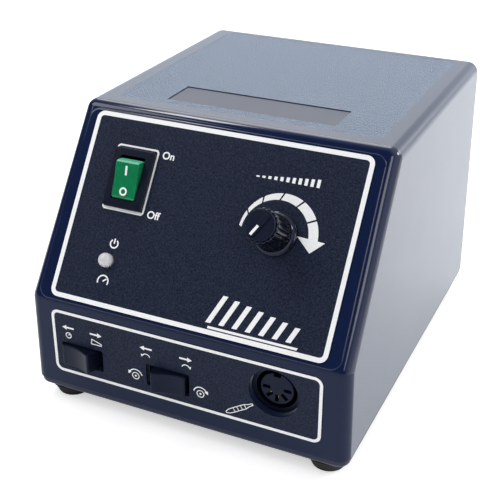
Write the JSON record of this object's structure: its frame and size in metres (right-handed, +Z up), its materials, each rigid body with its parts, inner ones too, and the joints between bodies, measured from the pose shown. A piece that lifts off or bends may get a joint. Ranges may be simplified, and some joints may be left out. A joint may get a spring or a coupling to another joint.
{
  "type": "dental laboratory micromotor control unit",
  "caption": "Bench control unit for a dental laboratory micromotor: wedge-fronted moulded case with power rocker, speed knob, feed and direction rockers, motor socket and rear mains inlet.",
  "frame": {"origin": "on the ground under the middle of the unit's bounding box, feet at z = 0", "axes": "+X to the right seen from the front, +Y towards the back, +Z up; the front face looks along -Y"},
  "size_m": [0.1198, 0.1568, 0.1015],
  "materials": {
    "case_navy": "glossy moulded ABS",
    "tray_navy": "satin moulded ABS",
    "printed_overlay": "fine textured polyester overlay with white print",
    "label_grey": "matt",
    "black_plastic": "fine spark-eroded",
    "gloss_black": "polished",
    "knob_black": "satin",
    "green_lens": "translucent polished",
    "clear_resin": "milky clear epoxy",
    "foot_rubber": "moulded",
    "zinc_steel": "zinc plated",
    "panel_steel": "black powder coat",
    "contact_brass": "stamped",
    "lamp_amber": "clear",
    "core_steel": "varnished laminations",
    "winding_tape": "copper winding under yellow tape",
    "board_green": "solder mask",
    "sink_aluminium": "extruded",
    "capacitor_sleeve": "sleeved can"
  },
  "bodies": {
    "root": {"upper_housing": "case_navy", "base_tray": "tray_navy", "rear_panel": "panel_steel", "control_overlay": "printed_overlay", "socket_overlay": "printed_overlay", "top_label": "label_grey", "foot_front_left": "foot_rubber", "foot_front_right": "foot_rubber", "foot_rear_left": "foot_rubber", "foot_rear_right": "foot_rubber", "foot_screw_front_left": "zinc_steel", "foot_screw_front_right": "zinc_steel", "foot_screw_rear_left": "zinc_steel", "foot_screw_rear_right": "zinc_steel", "power_switch_body": "black_plastic", "power_lamp": "lamp_amber", "power_terminal_1": "contact_brass", "power_terminal_2": "contact_brass", "power_terminal_3": "contact_brass", "overload_led": "clear_resin", "led_clip": "black_plastic", "pot_body": "zinc_steel", "pot_washer": "zinc_steel", "pot_nut": "zinc_steel", "feed_switch_body": "black_plastic", "direction_switch_body": "black_plastic", "motor_socket_shell": "black_plastic", "motor_socket_insert": "gloss_black", "motor_contact_1": "contact_brass", "motor_contact_2": "contact_brass", "motor_contact_3": "contact_brass", "motor_contact_4": "contact_brass", "motor_contact_5": "contact_brass", "mains_inlet": "black_plastic", "inlet_pin_line": "contact_brass", "inlet_pin_neutral": "contact_brass", "inlet_pin_earth": "contact_brass", "inlet_screw_left": "zinc_steel", "inlet_screw_right": "zinc_steel", "fuse_holder": "black_plastic", "fuse_link": "lamp_amber", "foot_jack_body": "black_plastic", "foot_jack_nut": "zinc_steel", "transformer_core": "core_steel", "transformer_winding": "winding_tape", "transformer_frame": "zinc_steel", "circuit_board": "board_green", "heat_sink": "sink_aluminium", "power_transistor": "black_plastic", "capacitor_1": "capacitor_sleeve", "capacitor_2": "capacitor_sleeve"},
    "power_rocker": {"power_rocker": "green_lens"},
    "speed_knob": {"speed_knob": "knob_black", "knob_cap": "knob_black", "pot_shaft": "zinc_steel"},
    "feed_rocker": {"feed_rocker": "gloss_black"},
    "direction_rocker": {"direction_rocker": "gloss_black"},
    "fuse_cap": {"fuse_cap": "black_plastic"}
  },
  "joints": [
    {"name": "power_rocker_tilt", "type": "hinge", "parent": "root", "child": "power_rocker", "pos_m": [-0.0319, -0.04683, 0.08016], "axis": [-1, 0, 0], "range_deg": [0, 25.6]},
    {"name": "speed_knob_turn", "type": "hinge", "parent": "root", "child": "speed_knob", "pos_m": [0.0249, -0.05258, 0.07406], "axis": [0, 0.8177, -0.5757], "range_deg": [0, 300]},
    {"name": "feed_rocker_tilt", "type": "hinge", "parent": "root", "child": "feed_rocker", "pos_m": [-0.0389, -0.06965, 0.0223], "axis": [0, 0, 1], "range_deg": [0, 23.2]},
    {"name": "direction_rocker_tilt", "type": "hinge", "parent": "root", "child": "direction_rocker", "pos_m": [-0.0051, -0.06965, 0.0223], "axis": [0, 0, -1], "range_deg": [0, 23.2]},
    {"name": "fuse_cap_turn", "type": "hinge", "parent": "root", "child": "fuse_cap", "pos_m": [-0.0349, 0.0722, 0.04843], "axis": [0, 0.9998, 0.0198], "range_deg": [0, 45]}
  ]
}
